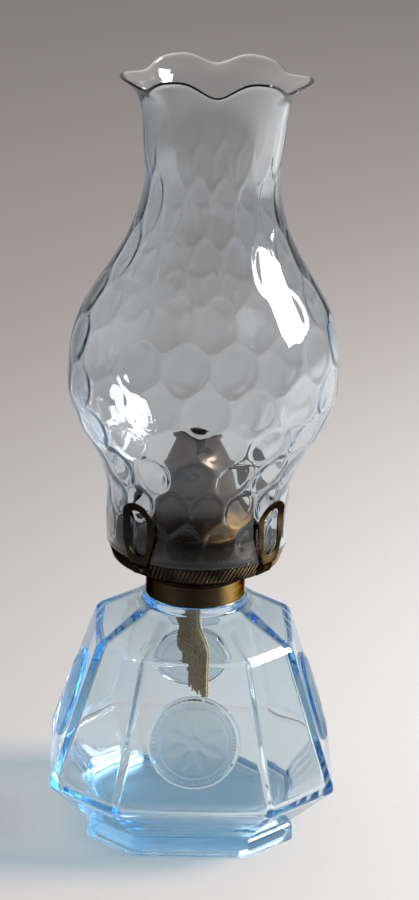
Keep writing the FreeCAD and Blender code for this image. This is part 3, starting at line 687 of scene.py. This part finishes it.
add(tree, "ShaderNodeOutputMaterial", {"Surface": add(tree, "ShaderNodeBsdfPrincipled", {
    "Base Color": ramp.outputs["Color"], "Metallic": 1.0, "Roughness": heated_rough, "Normal": bump})})
finished("deflector", "burner", heated)


# The wick raiser: a drawn steel spindle with two brass star wheels and a notched brass thumb
# wheel at the back, all darkened by oil.
wheel_edge = 0.12
# Mild steel wire, drawn: grey, with a fine grain and a film of oil.
spindle_steel = brass("spindle_steel", dull="#4b4843", bright="#8d8a84", golden=0.2, patch=3.0,
                      rough_low=0.25, rough_high=0.4)
finished("wick_spindle", "wick_raiser", spindle_steel)
finished("spur_wheels", "wick_raiser", rivet_brass)
# The thumb wheel wears the prongs' brass, and with it their painted shade on the lamp's left.
finished("thumb_wheel", "wick_raiser", prong_brass, bevel=wheel_edge)


# The wick: flat woven cotton tape, grey-brown with old oil and charred at its top. Its warp yarns
# run up it, weft yarns bind them, and its torn lower end frays.
wick_turn, wick_twist = 5.35, 26.0
wick_width, wick_thickness = 25.2, 2.4
wick_low_z, wick_bend_z, wick_bend_height, wick_high_z = 59.4, 97.1, 15.8, 161.9
warp_count, warp_radius, weft_step, weft_radius = 18, 0.58, 1.7, 0.3
warp_step, warp_wave, warp_reach, yarn_room, yarn_sides = 0.85, 0.16, 0.955, 0.1, 6
weft_reach, weft_high_gap, weft_low_gap, weft_tear_gap = 0.97, 1.0, 4.0, 2.0
weft_loop = ((-1, -0.6), (-0.5, -1), (0, -1), (0.5, -1), (1, -0.6), (1, 0.6), (0.5, 1), (0, 1), (-0.5, 1),
             (-1, 0.6), (-1, -0.6))
torn_steps, torn_spread = ((0.62, 17.0), (0.22, 8.5), (-2.0, 0.0)), 4.0
tear_across, tear_layer, tear_place = 7.3, 3.1, 0.5
cotton_dark, cotton_soiled, cotton_clean, cotton_char = "#b89c74", "#eccf9e", "#fbeac8", "#1f1a16"
soil_size, fibre_size, fibre_stretch, fibre_low, fibre_high = 7.0, 0.5, 0.25, 0.35, 0.7
char_low_z, char_high_z = 156.0, 160.0
cotton_rough, cotton_sheen, cotton_relief = 0.9, 0.25, 0.12


def on_wick(along, across, z):
    """A point in metres at a share (-1 to 1) of the wick's width, at a depth and a height."""
    fall = max(0.0, min(1.0, (wick_bend_z - z) / wick_bend_height))
    angle = math.radians(wick_turn + wick_twist * fall * fall * (3 - 2 * fall))
    y = along * wick_width / 2
    return Vector((across * math.cos(angle) - y * math.sin(angle),
                   across * math.sin(angle) + y * math.cos(angle), z)) * mm


def torn_end(along, layer):
    """The height at which the warp yarn at that share of the width ends."""
    ragged = noise.noise(Vector((along * tear_across, layer * tear_layer, tear_place)))
    lost = next(rise for share, rise in torn_steps if along > share)
    return wick_low_z + lost + torn_spread * abs(ragged)


def yarn_lines():
    """The paths of the warp and weft yarns, each with its radius in millimetres."""
    lines = []
    depth = wick_thickness / 2 - warp_radius - yarn_room
    for layer in (-1, 1):
        for index in range(warp_count):
            along = -warp_reach + 2 * warp_reach * index / (warp_count - 1)
            low = torn_end(along, layer)
            steps = int((wick_high_z - low) / warp_step)
            lines.append((warp_radius, [
                on_wick(along, layer * (depth + warp_wave * math.cos(math.pi * (step + index))),
                        wick_high_z - step * warp_step) for step in range(steps + 1)]))
    reaches = [1.0] + [share for share, rise in torn_steps]
    z = wick_high_z - weft_high_gap
    while z > wick_low_z + weft_low_gap:
        reach = next(reaches[zone] for zone, (share, rise) in enumerate(torn_steps)
                     if z > wick_low_z + rise + weft_tear_gap)
        lines.append((weft_radius, [
            on_wick(weft_reach * (-1 + (along + 1) * (reach + 1) / 2),
                    side * (wick_thickness / 2 - weft_radius), z) for along, side in weft_loop]))
        z -= weft_step
    return lines


def yarn_tree():
    """Geometry nodes that turn lines into yarns. Inputs: Yarn Radius, Yarn Material."""
    tree = bpy.data.node_groups.new("yarns", "GeometryNodeTree")
    tree.interface.new_socket("Geometry", in_out="INPUT", socket_type="NodeSocketGeometry")
    tree.interface.new_socket("Yarn Radius", in_out="INPUT", socket_type="NodeSocketFloat")
    tree.interface.new_socket("Yarn Material", in_out="INPUT", socket_type="NodeSocketMaterial")
    tree.interface.new_socket("Geometry", in_out="OUTPUT", socket_type="NodeSocketGeometry")
    given = tree.nodes.new("NodeGroupInput")
    line = add(tree, "GeometryNodeMeshToCurve", {"Mesh": given.outputs["Geometry"]})
    circle = add(tree, "GeometryNodeCurvePrimitiveCircle", {
        "Resolution": yarn_sides, "Radius": given.outputs["Yarn Radius"]})
    yarn = add(tree, "GeometryNodeCurveToMesh", {
        "Curve": line, "Profile Curve": circle.outputs["Curve"], "Fill Caps": True})
    real = add(tree, "GeometryNodeRealizeInstances", {"Geometry": yarn})
    soft = add(tree, "GeometryNodeSetShadeSmooth", {"Geometry": real})
    done = add(tree, "GeometryNodeSetMaterial", {
        "Geometry": soft, "Material": given.outputs["Yarn Material"]})
    add(tree, "NodeGroupOutput", {"Geometry": done})
    return tree


# Unbleached cotton, spun and woven: soft and matt with a fibrous grain, patchy with old oil. Its
# fibres are drawn coarser than they are, so that they show; its tones are paler, as painted light
# for the light that bounces inside the font.
cotton, tree = new_material("oily_cotton_wick")
place = object_place(tree)
soil = add(tree, "ShaderNodeTexNoise", {"Vector": place, "Scale": 1 / (soil_size * mm), "Detail": 4.0})
drawn = add(tree, "ShaderNodeMapping", {"Vector": place, "Scale": (1.0, 1.0, fibre_stretch)})
fibre = add(tree, "ShaderNodeTexNoise", {"Vector": drawn, "Scale": 1 / (fibre_size * mm), "Detail": 2.0})
clean = add(tree, "ShaderNodeMix", {
    "Factor": soil.outputs["Fac"], "A": tint(cotton_soiled), "B": tint(cotton_clean)}, data_type="RGBA")
dark = add(tree, "ShaderNodeMapRange", {
    "Value": fibre.outputs["Fac"], "From Min": fibre_low, "From Max": fibre_high})
dyed = add(tree, "ShaderNodeMix", {
    "Factor": dark, "A": clean.outputs["Result"], "B": tint(cotton_dark)}, data_type="RGBA")
height = add(tree, "ShaderNodeSeparateXYZ", {"Vector": place}).outputs["Z"]
char = add(tree, "ShaderNodeMapRange", {
    "Value": height, "From Min": char_low_z * mm, "From Max": char_high_z * mm})
burnt = add(tree, "ShaderNodeMix", {
    "Factor": char, "A": dyed.outputs["Result"], "B": tint(cotton_char)}, data_type="RGBA")
bump = add(tree, "ShaderNodeBump", {
    "Height": fibre.outputs["Fac"], "Distance": cotton_relief * mm, "Strength": 1.0})
add(tree, "ShaderNodeOutputMaterial", {"Surface": add(tree, "ShaderNodeBsdfPrincipled", {
    "Base Color": burnt.outputs["Result"], "Roughness": cotton_rough, "Sheen Weight": cotton_sheen,
    "Normal": bump})})

yarns = yarn_tree()
lines = yarn_lines()
wick_parts = []
for name, radius in (("warp", warp_radius), ("weft", weft_radius)):
    chosen = [points for size, points in lines if size == radius]
    mesh = bpy.data.meshes.new(name)
    starts = np.cumsum([0] + [len(points) for points in chosen])
    edges = [(start + step, start + step + 1) for start, points in zip(starts, chosen)
             for step in range(len(points) - 1)]
    mesh.from_pydata([tuple(point) for points in chosen for point in points], edges, [])
    part = bpy.data.objects.new(name, mesh)
    bpy.context.scene.collection.objects.link(part)
    spin = part.modifiers.new("yarns", "NODES")
    spin.node_group = yarns
    sockets = {item.name: item.identifier for item in yarns.interface.items_tree
               if item.in_out == "INPUT"}
    spin[sockets["Yarn Radius"]] = radius * mm
    spin[sockets["Yarn Material"]] = cotton
    wick_parts.append(baked(part))

form = bmesh.new()
for part in wick_parts:
    form.from_mesh(part.data)
    bpy.data.objects.remove(part)
wick_mesh = bpy.data.meshes.new("wick_tape")
form.to_mesh(wick_mesh)
form.free()
wick_mesh.materials.append(cotton)
wick = bpy.data.objects.new("wick_tape", wick_mesh)
bpy.context.scene.collection.objects.link(wick)
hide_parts("wick")
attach(wick, "wick")


# The chimney: pale blue glass blown into a dotted optic mould, then drawn out at the neck, so the
# round dots stretch where the glass did. Its rim is reheated and crimped in six lobes.
fitter_radius, bulb_radius, chimney_neck_radius, rim_radius = 38.7, 57.6, 28.35, 37.8
rim_wave, rim_oval, rim_lobes, rim_pinch, rim_low_azimuth = 2.2, 1.6, 6, 1.5, -1.0
rim_rise, rim_front_rise, rim_side_rise, rim_tilt, rim_droop = 2.3, 1.0, 1.3, 2.8, 1.5
chimney_z, chimney_height, chimney_wall, rim_wall = 130.7, 205.7, 2.3, 2.1
chimney_lean, lean_start_share = 3.2, 0.093
base_shares = ((0.0, 0.0), (0.045, 0.018), (0.093, 0.014), (0.141, 0.062), (0.200, 0.335),
               (0.262, 0.706), (0.335, 0.984), (0.365, 1.0))
waist_shares = ((0.393, 0.003), (0.451, 0.045), (0.519, 0.224), (0.587, 0.509),
                (0.655, 0.765), (0.722, 0.928), (0.795, 1.0))
rim_shares = ((0.868, 0.143, 0.0), (0.922, 0.24, 0.02), (0.956, 0.376, 0.15),
              (0.981, 0.64, 0.5), (1.0, 1.0, 1.0))
around_count, up_count, chimney_crease = 264, 168, 60
edge_angles = (25, 60, 90, 120, 155)
dot_count, dot_swirl, dot_start = 16, 0.1, 9.4
dot_row_shares = ((0.0, -0.7), (0.053, 0.0), (0.127, 1.0), (0.291, 3.0), (0.364, 4.0), (0.46, 5.0),
                  (0.54, 6.0), (0.635, 7.0), (0.75, 8.0), (1.0, 9.9))
dot_width, dot_tall, dot_inside, dot_outside = 0.46, 0.6, 0.95, 0.12
dot_edge, dot_edge_width, dot_flat_share, far_dot = 1.04, 0.24, 0.75, 9.0
plain_base, base_fade, plain_rim, rim_fade = 0.02, 0.05, 0.93, 0.12
uneven_around, uneven_up, uneven_depth, skin_shift = 1.6, 5.5, 0.12, 4
dot_depth_shares = ((0.0, 1.0), (0.2, 0.85), (0.3, 0.5), (0.4, 0.36), (0.6, 0.32), (0.8, 0.35), (1.0, 0.1))
chimney_blue, chimney_depth, chimney_shade = "#7fbbd6", 50.0, "#f4f7f9"
chimney_ripple, chimney_ripple_size = 0.012, 7.0


def spline(knots, values, places):
    """A natural cubic curve through the knots, read at the places."""
    knots, values = np.array(knots), np.array(values)
    gaps = np.diff(knots)
    matrix, target = np.eye(len(knots)), np.zeros(len(knots))
    for at in range(1, len(knots) - 1):
        matrix[at, at - 1:at + 2] = gaps[at - 1], 2 * (gaps[at - 1] + gaps[at]), gaps[at]
        target[at] = 6 * ((values[at + 1] - values[at]) / gaps[at]
                          - (values[at] - values[at - 1]) / gaps[at - 1])
    bend = np.linalg.solve(matrix, target)
    at = np.clip(np.searchsorted(knots, places) - 1, 0, len(knots) - 2)
    past, left, gap = places - knots[at], knots[at + 1] - places, gaps[at]
    return ((bend[at] * left ** 3 + bend[at + 1] * past ** 3) / (6 * gap)
            + (values[at] / gap - bend[at] * gap / 6) * left
            + (values[at + 1] / gap - bend[at + 1] * gap / 6) * past)


def chimney_outline(shares):
    """The mean radius and the crimp of the chimney at shares of its height."""
    spans = ((base_shares, fitter_radius, bulb_radius), (waist_shares, bulb_radius, chimney_neck_radius),
             (rim_shares, chimney_neck_radius, rim_radius))
    knots = [level[0] for levels, low, high in spans for level in levels]
    radii = [low + level[1] * (high - low) for levels, low, high in spans for level in levels]
    crimps = [level[2] if len(level) > 2 else 0.0 for levels, low, high in spans for level in levels]
    return spline(knots, radii, shares), spline(knots, crimps, shares)


def dots(azimuths, shares):
    """The height of the optic dots, 0 to 1: coins in staggered rows that lean as they rise."""
    rows = spline(*zip(*dot_row_shares), shares)[:, None]
    columns = (azimuths[None, :] + dot_start) / 360 * dot_count - dot_swirl * rows
    nearest = np.full(np.broadcast(rows, columns).shape, far_dot)
    for step in (-1, 0, 1, 2):
        row = np.floor(rows) + step
        shifted = columns - 0.5 * row
        side = (shifted - np.round(shifted)) / dot_width
        nearest = np.minimum(nearest, np.hypot(side, (rows - row) / dot_tall))
    edge = np.clip((dot_edge - nearest) / dot_edge_width, 0, 1)
    coin = edge * edge * (3 - 2 * edge)
    return dot_flat_share * coin + (1 - dot_flat_share) * np.clip(1 - nearest ** 2, 0, 1)


def chimney_skin(inset):
    """Points of one skin, upwards, in millimetres. The inset is 1 on the inner skin and 0 outside."""
    edge = rim_wall / 2 / chimney_height
    shares = np.linspace(edge, 1 - edge, up_count)
    azimuths = np.arange(around_count) * 360 / around_count
    radii, crimps = chimney_outline(shares)
    turn = np.radians(azimuths - rim_low_azimuth)
    front, side = np.cos(turn), np.cos(2 * turn)
    wave = 2 * ((1 + np.cos(rim_lobes * turn)) / 2) ** rim_pinch - 1
    spread = crimps[:, None] * (rim_wave * wave + rim_oval * side)[None, :]
    lobe = rim_rise + rim_front_rise * front + rim_side_rise * side
    rise = crimps[:, None] * (rim_tilt * front + rim_droop * side - lobe * wave)[None, :]
    wall = chimney_wall + (rim_wall - chimney_wall) * np.clip(crimps, 0, 1)
    depth = np.where(inset, dot_inside, dot_outside) * np.interp(shares, *zip(*dot_depth_shares))
    fade = (np.clip((shares - plain_base) / base_fade, 0, 1)
            * np.clip((plain_rim - shares) / rim_fade, 0, 1))
    relief = dots(azimuths, shares) * (depth * fade)[:, None]
    uneven = np.array([[
        noise.noise(Vector((math.cos(angle) * uneven_around, math.sin(angle) * uneven_around,
                            share * uneven_up + skin_shift * inset)))
        for angle in np.radians(azimuths)] for share in shares]) * (uneven_depth * fade)[:, None]
    radius = radii[:, None] - inset * wall[:, None] - spread - relief - uneven
    angle = np.radians(azimuths)[None, :]
    z = chimney_z + chimney_height * shares[:, None] + rise
    lean = chimney_lean * np.clip((shares - lean_start_share) / (1 - lean_start_share), 0, 1)[:, None]
    return np.stack([radius * np.sin(angle) + lean, -radius * np.cos(angle), z], axis=-1)


def rounded_edge(first, second, beyond):
    """Rows that round the glass from one skin's last row to the other's, past both of them."""
    middle, half = (first + second) / 2, (first - second) / 2
    out = beyond / np.linalg.norm(beyond, axis=1, keepdims=True)
    reach = np.linalg.norm(half, axis=1, keepdims=True)
    return [middle + half * math.cos(math.radians(angle)) + out * reach * math.sin(math.radians(angle))
            for angle in edge_angles]


outer, inner = chimney_skin(0), chimney_skin(1)
rim_rows = rounded_edge(outer[-1], inner[-1], outer[-1] + inner[-1] - outer[-2] - inner[-2])
base_rows = rounded_edge(inner[0], outer[0], outer[0] + inner[0] - outer[1] - inner[1])
chimney_rows = [*outer, *rim_rows, *inner[::-1], *base_rows]
# Soda-lime glass, blown: thin and clear with round dots and fine ripples that bend what is behind
# them, and blue only at its sides and its rim, where the eye looks along it.
blown_blue = glass("blown_blue_glass", chimney_blue, chimney_depth, chimney_shade, chimney_ripple,
                   chimney_ripple_size)
chimney = new_piece("chimney_blown", np.concatenate(chimney_rows) * mm,
                    skin_faces(len(chimney_rows), around_count, closed=True), [blown_blue])
smooth(chimney, chimney_crease)
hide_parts("chimney")
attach(chimney, "chimney")
